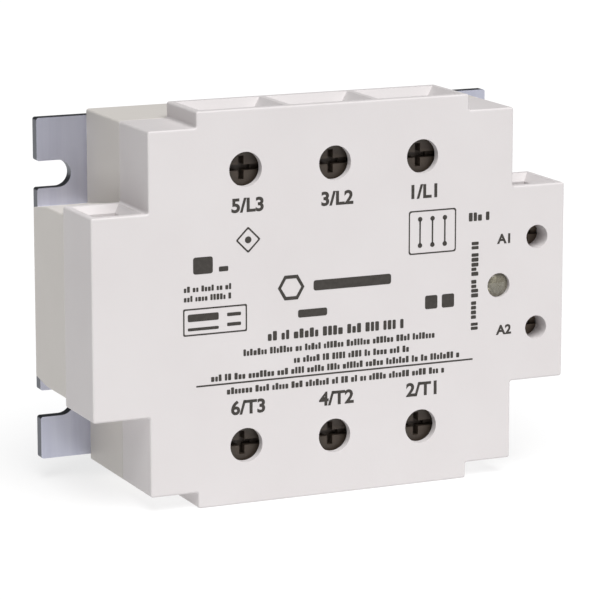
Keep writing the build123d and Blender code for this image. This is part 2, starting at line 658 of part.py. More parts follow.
def control_clamp():
    """Square washer plate under the control screw's head."""
    x = around(CONTROL_X, CONTROL_CLAMP_HALF)
    y = around(CONTROL_ROW_Y, CONTROL_CLAMP_HALF)
    plate = block(x, y, (CONTROL_CLAMP_BOTTOM, CONTROL_HEAD_SEAT))
    plate = fillet(plate.edges().filter_by(Axis.Z), CONTROL_CLAMP_ROUND)
    hole_z = (CONTROL_CLAMP_BOTTOM, CONTROL_HEAD_SEAT)
    return plate - rod(CONTROL_SCREW_R + SHANK_CLEARANCE, hole_z, CONTROL_X, CONTROL_ROW_Y)


def busbar():
    """Tinned copper bar: flat under the clamp, a leg down to the module and a soldered foot."""
    flat_y = (LEG_INNER_Y, ROW_Y + BUSBAR_OUTER)
    bar = block(around(0, BUSBAR_HALF_X), flat_y, (PAD_TOP, BUSBAR_TOP))
    bar += block(around(0, BUSBAR_LEG_HALF_X), (LEG_INNER_Y, LEG_OUTER_Y), (COPPER_TOP, BUSBAR_TOP))
    foot_y = (LEG_INNER_Y, LEG_OUTER_Y + BUSBAR_FOOT)
    bar += block(around(0, BUSBAR_LEG_HALF_X), foot_y, (COPPER_TOP, COPPER_TOP + BUSBAR_THICK))
    bar = fillet(bar.edges().filter_by(Axis.X).group_by(Axis.Z)[-1].group_by(Axis.Y)[0], BUSBAR_BEND)
    bar += rod(COLLAR_R, (PAD_TOP - COLLAR_DROP, PAD_TOP), 0, ROW_Y)
    return bar - rod(POWER_SCREW_R + THREAD_CLEARANCE, (PAD_TOP - COLLAR_DROP, BUSBAR_TOP), 0, ROW_Y)


def control_terminal():
    """Thin bar under the control clamp, with a tail that is soldered into the board."""
    plate_x = around(CONTROL_X, CONTROL_BAR_HALF)
    bar = block(plate_x, around(CONTROL_ROW_Y, CONTROL_BAR_HALF), (CONTROL_PAD_TOP, CONTROL_BAR_TOP))
    tail_y = around(CONTROL_ROW_Y, CONTROL_TAIL_HALF)
    bar += block((TAIL_X, CONTROL_X), tail_y, (CONTROL_PAD_TOP, CONTROL_BAR_TOP))
    leg_x = (TAIL_X, TAIL_X + CONTROL_BAR_THICK)
    bar += block(leg_x, tail_y, (BOARD_TOP, CONTROL_BAR_TOP))
    pin_z = (BOARD_BOTTOM - PIN_STANDOUT, BOARD_TOP)
    bar += block(leg_x, around(CONTROL_ROW_Y, PIN_R), pin_z)
    collar_z = (CONTROL_PAD_TOP - CONTROL_COLLAR_DROP, CONTROL_PAD_TOP)
    bar += rod(CONTROL_COLLAR_R, collar_z, CONTROL_X, CONTROL_ROW_Y)
    hole_z = (collar_z[0], CONTROL_BAR_TOP)
    return bar - rod(CONTROL_SCREW_R + THREAD_CLEARANCE, hole_z, CONTROL_X, CONTROL_ROW_Y)


# ---------------------------------------------------------------- power modules
def ceramic_tile():
    """Alumina insulator of one phase."""
    z = (PLATE_TOP + COPPER, PLATE_TOP + COPPER + CERAMIC)
    return block(around(0, TILE_HALF_X), around(0, TILE_HALF_Y), z)


def tile_copper():
    """Copper bonded to one tile: one sheet below, and a line and a load pad above."""
    half_x = TILE_HALF_X - TILE_MARGIN
    half_y = TILE_HALF_Y - TILE_MARGIN
    sheet = block(around(0, half_x), around(0, half_y), (PLATE_TOP, PLATE_TOP + COPPER))
    pad = block(around(0, half_x), (TILE_MARGIN / 2, half_y), (COPPER_TOP - COPPER, COPPER_TOP))
    return [sheet] + both_rows(pad)


def thyristor_pair():
    """Two bare thyristor chips, one on each pad."""
    chip = block(around(0, CHIP_SIZE / 2), around(CHIP_Y, CHIP_SIZE / 2), (COPPER_TOP, CHIP_TOP))
    return both_rows(chip)


def chip_strap():
    """Bent copper strip from the upper chip across to the load pad."""
    x = around(STRAP_X, STRAP_WIDTH / 2)
    chip_y = around(CHIP_Y, CHIP_SIZE / 2 - STRAP_INSET)
    landing_y = STRAP_LANDING
    roof = CHIP_TOP + STRAP_RISE
    strap = block(x, chip_y, (CHIP_TOP, CHIP_TOP + STRAP_THICK))
    strap += block(x, (chip_y[0], chip_y[0] + STRAP_THICK), (CHIP_TOP, roof + STRAP_THICK))
    strap += block(x, (landing_y[1] - STRAP_THICK, chip_y[0] + STRAP_THICK), (roof, roof + STRAP_THICK))
    strap += block(x, (landing_y[1] - STRAP_THICK, landing_y[1]), (COPPER_TOP, roof + STRAP_THICK))
    return strap + block(x, landing_y, (COPPER_TOP, COPPER_TOP + STRAP_THICK))


def phase_straps():
    """The two straps of one phase, each the other turned half round."""
    strap = chip_strap()
    return [strap, Rot(0, 0, 180) * strap]


def pin_places():
    """Gate and sense pins of one phase, above its chips."""
    upper = [(-STRAP_X, CHIP_Y), (-STRAP_X, CHIP_Y + LEAD_PITCH)]
    return upper + [(-x, -y) for x, y in upper]


def gate_pins():
    """Straight pins from the chips up through the control board."""
    z = (CHIP_TOP, BOARD_TOP + PIN_STANDOUT)
    pins = []
    for column in PHASES.values():
        for x, y in pin_places():
            pins.append(rod(PIN_R, z, x + column * TERMINAL_PITCH, y))
    return pins


def silicone_gel(immersed):
    """Soft gel that covers the power modules, with room for everything that stands in it."""
    cavity = outline((CAVITY_X, CAVITY_Y), (WING_CAVITY_X, WING_CAVITY_Y))
    gel = slab(cavity, (PLATE_TOP, PLATE_TOP + GEL_DEPTH))
    for side in (-1, 1):
        wall_x = sorted((side * DECK_X, side * (DECK_X - BULKHEAD)))
        gel -= both_rows(block(wall_x, (DECK_WALL_Y, CAVITY_Y), (PLATE_TOP, PARTING)))
    for piece in immersed:
        gel -= piece
    return gel


# ---------------------------------------------------------------- control board
def lead(x, y, top):
    """Square component lead from a level down through the board."""
    return block(around(x, LEAD_HALF), around(y, LEAD_HALF), (BOARD_BOTTOM - PIN_STANDOUT, top))


def lead_places():
    """Component leads: x, y and the level of each one's upper end."""
    places = []
    for column in PHASES.values():
        x = column * TERMINAL_PITCH
        for side in (-1, 1):
            for row in (-1, 0, 1):
                places.append((x + side * OPTO_LEAD_X, row * LEAD_PITCH, OPTO_LEAD_TOP))
            places.append((x + side * SNUBBER_LEAD_X, SNUBBER_Y, BOARD_TOP))
            places.append((x + side * SNUBBER_RESISTOR_LEAD_X, -SNUBBER_Y, RESISTOR_LEVEL))
    for side in (-1, 1):
        places.append((LED_X, side * LEAD_PITCH / 2, LED_BOTTOM))
        for end in (-1, 1):
            x = RECTIFIER_X + side * RECTIFIER_LEADS[0]
            y = RECTIFIER_Y + end * RECTIFIER_LEADS[1]
            places.append((x, y, RECTIFIER_LEVEL))
        places.append((INPUT_CAP_X + side * INPUT_CAP_LEAD_X, INPUT_CAP_Y, BOARD_TOP))
        places.append((FILTER_CAP_X, FILTER_CAP_Y + side * LEAD_PITCH / 2, BOARD_TOP))
        places.append((VARISTOR_X + side * LEAD_PITCH, VARISTOR_Y, BOARD_TOP + 2 * VARISTOR_LIFT))
        for x in INPUT_RESISTOR_X:
            places.append((x, INPUT_RESISTOR_Y + side * INPUT_RESISTOR_LEAD_Y, RESISTOR_LEVEL))
    return places


def control_board():
    """Printed circuit board with a hole for every lead and pin."""
    board = block(around(0, BOARD_X), around(0, BOARD_Y), (BOARD_BOTTOM, BOARD_TOP))
    through = (BOARD_BOTTOM, BOARD_TOP)
    for x, y, _ in lead_places():
        board -= rod(PIN_R + LEAD_CLEARANCE, through, x, y)
    for column in PHASES.values():
        for x, y in pin_places():
            board -= rod(PIN_HOLE_R, through, x + column * TERMINAL_PITCH, y)
    slot_x = (TAIL_X - TAIL_CLEARANCE, TAIL_X + CONTROL_BAR_THICK + TAIL_CLEARANCE)
    tail_slot = block(slot_x, around(CONTROL_ROW_Y, PIN_R + TAIL_CLEARANCE), through)
    return board - both_rows(tail_slot)


def component_leads():
    """Tinned leads of all the parts on the board."""
    return [lead(*place) for place in lead_places()]


def opto_coupler():
    """Six-lead trigger coupler body."""
    x, y, height = OPTO_SIZE
    level = BOARD_TOP + OPTO_STANDOFF
    body = block(around(0, x / 2), around(0, y / 2), (level, level + height))
    return chamfer(body.edges().filter_by(Axis.Y), CASE_BEVEL)


def snubber_capacitors():
    """One film capacitor across each phase."""
    x, y, height = SNUBBER_SIZE
    body = block(around(0, x / 2), around(SNUBBER_Y, y / 2), (BOARD_TOP, BOARD_TOP + height))
    body = fillet(body.edges().filter_by(Axis.Z), CASE_ROUND)
    return [Pos(column * TERMINAL_PITCH, 0, 0) * body for column in PHASES.values()]


def axial_resistor(length):
    """Resistor body with swollen ends, lying along x at the origin."""
    body = Rot(0, 90, 0) * Cylinder(RESISTOR_R * RESISTOR_WAIST, length)
    end = length * RESISTOR_END
    for side in (-1, 1):
        body += Pos(side * (length - end) / 2, 0, 0) * Rot(0, 90, 0) * Cylinder(RESISTOR_R, end)
    return body


def snubber_resistors():
    """One resistor in series with each snubber capacitor."""
    body = axial_resistor(2 * (SNUBBER_RESISTOR_LEAD_X - LEAD_HALF))
    return [Pos(c * TERMINAL_PITCH, -SNUBBER_Y, RESISTOR_LEVEL) * body for c in PHASES.values()]


def input_resistors():
    """Two resistors that drop the control voltage."""
    body = Rot(0, 0, 90) * axial_resistor(2 * (INPUT_RESISTOR_LEAD_Y - LEAD_HALF))
    return [Pos(x, INPUT_RESISTOR_Y, RESISTOR_LEVEL) * body for x in INPUT_RESISTOR_X]


def bridge_rectifier():
    """Four-lead rectifier block for the control input."""
    x, y, height = RECTIFIER_SIZE
    level = BOARD_TOP + RECTIFIER_STANDOFF
    body = block(around(RECTIFIER_X, x / 2), around(RECTIFIER_Y, y / 2), (level, level + height))
    return chamfer(body.edges().filter_by(Axis.Y), CASE_BEVEL)


def input_capacitor():
    """Film capacitor of the control input."""
    x, y, height = INPUT_CAP_SIZE
    body = block(around(INPUT_CAP_X, x / 2), around(INPUT_CAP_Y, y / 2), (BOARD_TOP, BOARD_TOP + height))
    return fillet(body.edges().filter_by(Axis.Z), CASE_ROUND)


def filter_capacitor():
    """Electrolytic can with its rolled groove."""
    top = BOARD_TOP + FILTER_CAP_H
    can = rod(FILTER_CAP_R, (BOARD_TOP, top), FILTER_CAP_X, FILTER_CAP_Y)
    can = fillet(can.edges().group_by(Axis.Z)[-1], CASE_ROUND)
    groove_z = [BOARD_TOP + level for level in FILTER_CAP_GROOVE]
    groove = rod(FILTER_CAP_R, groove_z, FILTER_CAP_X, FILTER_CAP_Y)
    groove -= rod(FILTER_CAP_R - FILTER_CAP_GROOVE_DEPTH, groove_z, FILTER_CAP_X, FILTER_CAP_Y)
    return can - groove


def input_varistor():
    """Disc that limits surges on the control input."""
    disc = Rot(90, 0, 0) * Cylinder(VARISTOR_R, VARISTOR_THICK)
    disc = fillet(disc.edges(), VARISTOR_ROUND)
    return Pos(VARISTOR_X, VARISTOR_Y, BOARD_TOP + VARISTOR_LIFT + VARISTOR_R) * disc


def chip_resistors():
    """Two small gate resistors per phase."""
    x, y, height = CHIP_RESISTOR
    z = (BOARD_TOP, BOARD_TOP + height)
    pieces = []
    for column in PHASES.values():
        for side in (-1, 1):
            centre = column * TERMINAL_PITCH + side * CHIP_RESISTOR_X
            pieces.append(block(around(centre, x / 2), around(side * CHIP_RESISTOR_Y, y / 2), z))
    return pieces


def status_led():
    """Round lamp: flange, barrel and shallow lens in one moulding."""
    tip = FRONT - LED_RECESS
    lens_r = (LED_R**2 + LED_CROWN**2) / (2 * LED_CROWN)
    body = rod(LED_FLANGE_R, (LED_BOTTOM, LED_BOTTOM + LED_FLANGE_H), LED_X, 0)
    body += rod(LED_R, (LED_BOTTOM, tip - LED_CROWN), LED_X, 0)
    lens = Pos(LED_X, 0, tip - lens_r) * Sphere(lens_r)
    return body + (rod(LED_R, (tip - LED_CROWN, tip), LED_X, 0) & lens)


# ---------------------------------------------------------------- assembly
def power_nodes():
    """Busbar, clamp and screw of every power terminal."""
    bar = busbar()
    clamp = power_clamp()
    fastener = power_screw()
    nodes = {}
    for label, x, side in power_places():
        nodes[f"busbar_{label}"] = at_terminal(bar, x, side)
        nodes[f"clamp_plate_{label}"] = at_terminal(clamp, x, side)
        nodes[f"terminal_screw_{label}"] = at_terminal(fastener, x, side)
    return nodes


def control_nodes():
    """Bar, clamp and screw of the two control terminals."""
    nodes = {}
    for label, side in (("A1", 1), ("A2", -1)):
        nodes[f"control_bar_{label}"] = at_terminal(control_terminal(), 0, side)
        nodes[f"clamp_plate_{label}"] = at_terminal(control_clamp(), 0, side)
        nodes[f"terminal_screw_{label}"] = at_terminal(control_screw(), 0, side)
    return nodes


def module_nodes():
    """Ceramic, copper, chips and trigger coupler of every phase."""
    nodes = {}
    for phase, column in PHASES.items():
        place = Pos(column * TERMINAL_PITCH, 0, 0)
        nodes[f"ceramic_tile_{phase}"] = place * ceramic_tile()
        nodes[f"tile_copper_{phase}"] = [place * one for one in tile_copper()]
        nodes[f"thyristor_pair_{phase}"] = [place * one for one in thyristor_pair()]
        nodes[f"opto_coupler_{phase}"] = place * opto_coupler()
    return nodes


def every_strap():
    """Chip straps of the three phases."""
    straps = []
    for column in PHASES.values():
        straps += [Pos(column * TERMINAL_PITCH, 0, 0) * one for one in phase_straps()]
    return straps


def solids_of(piece):
    """All the solids of one node, whether it is one piece or a group."""
    pieces = piece if isinstance(piece, list) else [piece]
    return [solid for one in pieces for solid in one.solids()]


def assembly():
    """Every node of the relay, by name."""
    nodes = {
        "base_plate": base_plate(),
        "sealing_bead": sealing_bead(),
        "base_housing": base_housing(),
        "front_cover": front_cover(),
        "chip_straps": every_strap(),
        "gate_pins": gate_pins(),
        "control_board": control_board(),
        "component_leads": component_leads(),
        "snubber_capacitors": snubber_capacitors(),
        "snubber_resistors": snubber_resistors(),
        "input_resistors": input_resistors(),
        "bridge_rectifier": bridge_rectifier(),
        "input_capacitor": input_capacitor(),
        "filter_capacitor": filter_capacitor(),
        "input_varistor": input_varistor(),
        "chip_resistors": chip_resistors(),
        "status_led": status_led(),
    }
    nodes.update(module_nodes())
    nodes.update(power_nodes())
    nodes.update(control_nodes())
    in_gel = ("ceramic_tile", "tile_copper", "thyristor_pair", "chip_straps", "gate_pins", "busbar")
    immersed = [solid for name in nodes if name.startswith(in_gel) for solid in solids_of(nodes[name])]
    nodes["silicone_gel"] = silicone_gel(immersed)
    return nodes


def upright(solids):
    """Stand the relay up: out of the panel becomes -Y, and up the panel becomes +Z."""
    return Compound([Rot(90, 0, 0) * solid for solid in solids])


os.makedirs("parts", exist_ok=True)
for name, piece in assembly().items():
    export_step(upright(solids_of(piece)), f"parts/{name}.step")

print(f"overall {2 * WIDE_X:.1f} wide, {2 * CENTRE_Y:.1f} high, {FRONT:.1f} deep")
print(f"power clamp travel {POWER_TRAVEL:.2f}, {POWER_THREAD_PITCH / (2 * pi):.6f} per radian")
print(f"control clamp travel {CONTROL_TRAVEL:.2f}, {CONTROL_THREAD_PITCH / (2 * pi):.6f} per radian")
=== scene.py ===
import json
import math

import bmesh
import bpy
import numpy as np
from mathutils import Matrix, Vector


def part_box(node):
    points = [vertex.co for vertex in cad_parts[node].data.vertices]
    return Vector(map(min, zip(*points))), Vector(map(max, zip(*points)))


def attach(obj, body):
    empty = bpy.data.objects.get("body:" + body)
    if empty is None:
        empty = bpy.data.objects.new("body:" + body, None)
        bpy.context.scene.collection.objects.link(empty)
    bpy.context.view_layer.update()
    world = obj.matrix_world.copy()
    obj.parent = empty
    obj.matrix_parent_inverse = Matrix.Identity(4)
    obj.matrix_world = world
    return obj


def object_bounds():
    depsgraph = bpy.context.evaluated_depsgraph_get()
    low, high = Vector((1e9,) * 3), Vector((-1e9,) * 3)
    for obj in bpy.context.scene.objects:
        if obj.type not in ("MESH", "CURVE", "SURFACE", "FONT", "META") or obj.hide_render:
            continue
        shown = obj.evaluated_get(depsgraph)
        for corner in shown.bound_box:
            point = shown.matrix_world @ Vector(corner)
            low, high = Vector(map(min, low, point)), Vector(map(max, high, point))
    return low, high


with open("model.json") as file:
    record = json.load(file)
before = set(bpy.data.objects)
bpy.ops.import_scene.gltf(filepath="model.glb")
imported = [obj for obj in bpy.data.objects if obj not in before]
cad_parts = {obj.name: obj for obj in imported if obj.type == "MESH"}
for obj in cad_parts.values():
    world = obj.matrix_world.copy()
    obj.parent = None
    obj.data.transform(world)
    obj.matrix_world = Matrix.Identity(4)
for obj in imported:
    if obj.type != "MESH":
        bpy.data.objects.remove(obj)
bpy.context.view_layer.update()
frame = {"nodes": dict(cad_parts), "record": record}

# Three-pole solid state relay: its CAD pieces keep their shapes and get their finishes here, and
# the printing and the lamp's inner frame are added. Metres; the front face looks towards -Y.

MM = 0.001
LOWEST_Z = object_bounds()[0].z
FRONT_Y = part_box("front_cover")[0].y
BODIES = frame["record"]["behaviour"]["bodies"]
HOUSING_BODY = next(body for body, nodes in BODIES.items() if "front_cover" in nodes)
POWER_LABELS = {"L3": "5/L3", "L2": "3/L2", "L1": "1/L1", "T3": "6/T3", "T2": "4/T2", "T1": "2/T1"}
CONTROL_LABELS = ("A1", "A2")


def middle(node):
    """Centre of a CAD node's box."""
    low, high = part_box(node)
    return (low + high) / 2


# ---------------------------------------------------------------- colours and nodes
MIX_A, MIX_B, MIX_OUT = 6, 7, 2         # colour sockets of a Mix node, which share their names with others
RINGS_PER_UNIT = 20 / (2 * math.pi)     # rings that a wave texture draws on one unit at a scale of one


def colour(code):
    """sRGB hex such as e3dfde turned to the linear colour that shaders take."""
    levels = np.array([int(code[i:i + 2], 16) / 255 for i in (0, 2, 4)])
    linear = np.where(levels <= 0.04045, levels / 12.92, ((levels + 0.055) / 1.055) ** 2.4)
    return (*linear.tolist(), 1.0)


def per_size(mm):
    """Texture scale that puts one feature on each stretch of that many millimetres."""
    return 1 / (mm * MM)


def add(tree, kind, inputs=None, **settings):
    """Adds a node. Settings are its own attributes; inputs are values, or sockets to link, by name."""
    node = tree.nodes.new(kind)
    for name, value in settings.items():
        setattr(node, name, value)
    for name, value in (inputs or {}).items():
        if isinstance(value, bpy.types.NodeSocket):
            tree.links.new(value, node.inputs[name])
        else:
            node.inputs[name].default_value = value
    return node


def finish_of(name, **constants):
    """New material: its tree, its Principled shader with constant sockets set, and its coordinates."""
    material = bpy.data.materials.new(name)
    material.use_nodes = True
    tree = material.node_tree
    shader = tree.nodes["Principled BSDF"]
    for socket, value in constants.items():
        shader.inputs[socket.replace("_", " ")].default_value = value
    return material, tree, shader, add(tree, "ShaderNodeTexCoord")


def toned(tree, shader, share, dark, light):
    """Base colour between two tones, by the share that a pattern gives."""
    between = {"Factor": share, MIX_A: colour(dark), MIX_B: colour(light)}
    tones = add(tree, "ShaderNodeMix", between, data_type="RGBA")
    tree.links.new(tones.outputs[MIX_OUT], shader.inputs["Base Color"])


def relieved(tree, shader, height, depth_mm):
    """Surface relief of the given depth from a pattern."""
    relief = add(tree, "ShaderNodeBump", {"Height": height, "Distance": depth_mm * MM})
    tree.links.new(relief.outputs["Normal"], shader.inputs["Normal"])


def roughened(tree, shader, share, rough):
    """Roughness that follows a pattern between two limits."""
    spread = add(tree, "ShaderNodeMapRange", {"Value": share, "To Min": rough[0], "To Max": rough[1]})
    tree.links.new(spread.outputs["Result"], shader.inputs["Roughness"])


def mottle(tree, shader, place, dark, light, size_mm):
    """Colour that drifts between two tones over patches of the given size."""
    noise = {"Vector": place, "Scale": per_size(size_mm), "Detail": 3.0}
    toned(tree, shader, add(tree, "ShaderNodeTexNoise", noise).outputs["Fac"], dark, light)


def pitted(tree, shader, place, size_mm, depth_mm, rough):
    """Surface relief of the given grain and depth, with roughness that follows it."""
    noise = {"Vector": place, "Scale": per_size(size_mm), "Detail": 2.0}
    grain = add(tree, "ShaderNodeTexNoise", noise).outputs["Fac"]
    relieved(tree, shader, grain, depth_mm)
    roughened(tree, shader, grain, rough)


# The real grain of these mouldings, inks and platings is about 0.05 mm. It would not show, so each
# finish draws it at the coarser size given here, in millimetres.
HOUSING_GRAIN, INK_GRAIN, METAL_GRAIN, CASE_GRAIN = 0.45, 0.3, 0.25, 0.2


# ---------------------------------------------------------------- housing and print
def moulded_housing(name, dark, light):
    """PBT moulded in a spark-eroded tool: pale warm grey, matt, with a barely visible grain."""
    material, tree, shader, coords = finish_of(name, IOR=1.52, Specular_IOR_Level=0.4)
    place = coords.outputs["Object"]
    mottle(tree, shader, place, dark, light, 18.0)
    pitted(tree, shader, place, HOUSING_GRAIN, 0.012, (0.42, 0.56))
    return material


def printed_ink():
    """Pad-printed two-part ink: dark warm grey, starved in places, less glossy than the housing."""
    material, tree, shader, coords = finish_of("ink_pad_printed", IOR=1.5, Specular_IOR_Level=0.3)
    place = coords.outputs["Object"]
    mottle(tree, shader, place, "2f2c29", "47433f", 0.8)
    pitted(tree, shader, place, INK_GRAIN, 0.004, (0.55, 0.7))
    return material


# ---------------------------------------------------------------- metals
ROLLING_STRETCH = 0.05      # patterns are drawn out along Z, twenty times their width
ROLLING_LINE = 0.35         # mm between rolling lines: about 0.05 on real plate, and coarser so they show
ROLLING_STREAK = 2.2        # mm across the soft streaks between them
SHADED_CUT_EDGE_BELOW = 0.5        # a face turned this far from the plate's front is a cut edge, and gets the painted shade


def rolled_plate(name):
    """Nickel-plated rolled plate: fine lines along its length, and a flat dark tone on the cut edges that is
    painted shade, and partly the dull torn metal of a cut.
    """
    material, tree, shader, coords = finish_of(name, Metallic=1.0)
    stretch = {"Vector": coords.outputs["Object"], "Scale": (1.0, 1.0, ROLLING_STRETCH)}
    along = add(tree, "ShaderNodeMapping", stretch).outputs["Vector"]
    fine = {"Vector": along, "Scale": per_size(ROLLING_LINE), "Detail": 4.0}
    broad = {"Vector": along, "Scale": per_size(ROLLING_STREAK), "Detail": 5.0}
    lines = add(tree, "ShaderNodeTexNoise", fine).outputs["Fac"]
    streaks = add(tree, "ShaderNodeTexNoise", broad).outputs["Fac"]
    between = {"Factor": streaks, MIX_A: colour("bcbed0"), MIX_B: colour("dadce8")}
    faces = add(tree, "ShaderNodeMix", between, data_type="RGBA")
    split = add(tree, "ShaderNodeSeparateXYZ", {"Vector": coords.outputs["Normal"]})
    facing = add(tree, "ShaderNodeMath", {0: split.outputs["Y"]}, operation="ABSOLUTE")
    flat = {0: facing.outputs[0], 1: SHADED_CUT_EDGE_BELOW}
    uncut = add(tree, "ShaderNodeMath", flat, operation="GREATER_THAN")
    # cut edges take a flat dark tone: painted shade, and partly the dull torn metal of the cut
    by_face = {"Factor": uncut.outputs[0], MIX_A: colour("5c5f66"), MIX_B: faces.outputs[MIX_OUT]}
    tone = add(tree, "ShaderNodeMix", by_face, data_type="RGBA")
    tree.links.new(tone.outputs[MIX_OUT], shader.inputs["Base Color"])
    roughened(tree, shader, lines, (0.34, 0.5))
    relieved(tree, shader, lines, 0.006)
    return material


HEADING_RING = 3.1416       # mm between rings: about 0.3 on a real head, and ten times that so they show


def headed_screw(node, dark, light):
    """Black-passivated cold-headed steel: brown-black, with faint rings left by the heading die."""
    material, tree, shader, coords = finish_of(f"steel_blackened_{node}", Metallic=0.1)
    axis = middle(node)
    about = {"Vector": coords.outputs["Object"], "Location": (-axis.x, 0, -axis.z)}
    centred = add(tree, "ShaderNodeMapping", about)
    scale = per_size(HEADING_RING) / RINGS_PER_UNIT
    wave = {"Vector": centred.outputs["Vector"], "Scale": scale, "Distortion": 1.5, "Detail": 2.0}
    around = {"wave_type": "RINGS", "rings_direction": "Y"}
    rings = add(tree, "ShaderNodeTexWave", wave, **around).outputs["Fac"]
    toned(tree, shader, rings, dark, light)
    roughened(tree, shader, rings, (0.38, 0.55))
    relieved(tree, shader, rings, 0.01)
    return material


def metal(name, dark, light, patch_mm, rough, depth_mm):
    """Bare or plated sheet metal: two close tones in small patches over a fine grain."""
    material, tree, shader, coords = finish_of(name, Metallic=1.0)
    place = coords.outputs["Object"]
    mottle(tree, shader, place, dark, light, patch_mm)
    pitted(tree, shader, place, METAL_GRAIN, depth_mm, rough)
    return material


# ---------------------------------------------------------------- inner pieces
def moulded_case(name, dark, light, patch_mm, rough):
    """Moulded, dipped or sintered body: an even tone with slight patches and a light grain."""
    material, tree, shader, coords = finish_of(name, IOR=1.5)
    place = coords.outputs["Object"]
    mottle(tree, shader, place, dark, light, patch_mm)
    pitted(tree, shader, place, CASE_GRAIN, 0.006, rough)
    return material


def clear_epoxy():
    """Clear cast epoxy of the lamp, tinted grey-green: glassy, with faint flow marks."""
    material, tree, shader, coords = finish_of("epoxy_clear_cast", IOR=1.55, Transmission_Weight=0.68)
    place = coords.outputs["Object"]
    mottle(tree, shader, place, "a8a08a", "d6d1c0", 1.1)
    pitted(tree, shader, place, 1.2, 0.003, (0.03, 0.07))
    return material


def cured_gel():
    """Soft silicone gel poured over the power modules: milky, slightly clear, with a wet skin."""
    clear = {"IOR": 1.41, "Transmission_Weight": 0.6}
    material, tree, shader, coords = finish_of("silicone_gel_poured", **clear)
    place = coords.outputs["Object"]
    mottle(tree, shader, place, "c9c6ba", "dddbd0", 6.0)
    pitted(tree, shader, place, 2.5, 0.02, (0.12, 0.2))
    return material


TRACK_CELL = 3.0            # mm across the areas that the tracks go round
TRACK_REACH = 0.12          # track to each side, as a share of a cell: twice the real width, so it shows
TRACK_DEPTH = 0.035         # mm: one ounce copper


def masked_board():
    """Glass-epoxy board under green solder mask, with copper tracks raised faintly beneath it."""
    coat = {"IOR": 1.5, "Coat_Weight": 0.3}
    material, tree, shader, coords = finish_of("glass_epoxy_solder_masked", **coat)
    cells = {"Vector": coords.outputs["Object"], "Scale": per_size(TRACK_CELL)}
    square = {"feature": "DISTANCE_TO_EDGE", "distance": "MANHATTAN"}
    tracks = add(tree, "ShaderNodeTexVoronoi", cells, **square)
    near = {0: tracks.outputs["Distance"], 1: TRACK_REACH}
    copper = add(tree, "ShaderNodeMath", near, operation="LESS_THAN").outputs[0]
    toned(tree, shader, copper, "1f5a34", "37834c")
    relieved(tree, shader, copper, TRACK_DEPTH)
    return material


BAND_REACH = 5 * MM         # the bands' ramp runs this far to each side of the middle
COAT = "7f97a3"
BANDS = ((0.0, COAT), (0.2, "8a4a22"), (0.27, COAT), (0.38, "20201f"), (0.45, COAT), (0.56, "c9772b"), (0.63, COAT))


def banded_resistor(name, band_axis, centre):
    """Lacquered resistor: a dull blue-grey coat with coloured bands across its length."""
    material, tree, shader, coords = finish_of(name, IOR=1.5, Roughness=0.4)
    split = add(tree, "ShaderNodeSeparateXYZ", {"Vector": coords.outputs["Object"]})
    from_centre = {0: split.outputs[band_axis], 1: centre}
    start = add(tree, "ShaderNodeMath", from_centre, operation="SUBTRACT")
    reach = {"Value": start.outputs[0], "From Min": -BAND_REACH, "From Max": BAND_REACH}
    share = add(tree, "ShaderNodeMapRange", reach)
    bands = add(tree, "ShaderNodeValToRGB", {"Fac": share.outputs["Result"]})
    bands.color_ramp.interpolation = "CONSTANT"
    for position, code in BANDS:
        stop = bands.color_ramp.elements.new(position)
        stop.color = colour(code)
    tree.links.new(bands.outputs["Color"], shader.inputs["Base Color"])
    return material


# ---------------------------------------------------------------- meshes
def mesh_piece(name, points, faces):
    """Mesh object at the origin from an array of points and a list of faces."""
    mesh = bpy.data.meshes.new(name)
    mesh.from_pydata(points.tolist(), [], faces)
    mesh.validate()
    piece = bpy.data.objects.new(name, mesh)
    bpy.context.scene.collection.objects.link(piece)
    return piece


def joined(name, parts):
    """One mesh from many point arrays and face lists."""
    points, faces, start = [], [], 0
    for part_points, part_faces in parts:
        points.append(part_points)
        faces += [[index + start for index in face] for face in part_faces]
        start += len(part_points)
    return mesh_piece(name, np.concatenate(points), faces)


def band(here, there, count):
    """Quads between two closed rings of points, given where each ring starts."""
    turn = np.arange(count)
    after = (turn + 1) % count
    return np.stack([turn + here, turn + there, after + there, after + here], axis=1).tolist()


def rounded_outline(half_x, half_z, corner, steps=5):
    """Closed outline: each quadrant's corner centre plus the corner radius at its angle."""
    quarter = np.linspace(0, math.pi / 2, steps)
    angle = (quarter[None, :] + np.arange(4)[:, None] * math.pi / 2).ravel()
    quadrant = np.repeat(np.arange(4) * math.pi / 2 + math.pi / 4, steps)
    x = (half_x - corner) * np.sign(np.cos(quadrant)) + corner * np.cos(angle)
    z = (half_z - corner) * np.sign(np.sin(quadrant)) + corner * np.sin(angle)
    return np.stack([x, z], axis=1)


def turned_outline(outline, degrees):
    """Outline turned about its own centre."""
    a = math.radians(degrees)
    return outline @ np.array([[math.cos(a), math.sin(a)], [-math.sin(a), math.cos(a)]])


TURN_STEPS = 32


def revolved(name, profile, centre):
    """Radius and depth turned about an axis along Y: rings of points between two single end points."""
    radius, depth = np.array(profile[1:-1]).T
    angle = np.linspace(0, 2 * math.pi, TURN_STEPS, endpoint=False)
    x = centre.x + radius[:, None] * np.cos(angle)
    z = centre.z + radius[:, None] * np.sin(angle)
    y = centre.y + np.repeat(depth[:, None], TURN_STEPS, axis=1)
    rings = np.stack([x, y, z], axis=-1).reshape(-1, 3)
    ends = [(centre.x, centre.y + profile[end][1], centre.z) for end in (0, -1)]
    faces = []
    for row in range(len(radius) - 1):
        faces += band(row * TURN_STEPS, (row + 1) * TURN_STEPS, TURN_STEPS)
    turn = np.arange(TURN_STEPS)
    after = (turn + 1) % TURN_STEPS
    first, last = len(rings), len(rings) - TURN_STEPS
    faces += np.stack([turn, after, np.full(TURN_STEPS, first)], axis=1).tolist()
    faces += np.stack([after + last, turn + last, np.full(TURN_STEPS, first + 1)], axis=1).tolist()
    return mesh_piece(name, np.concatenate([rings, ends]), faces)


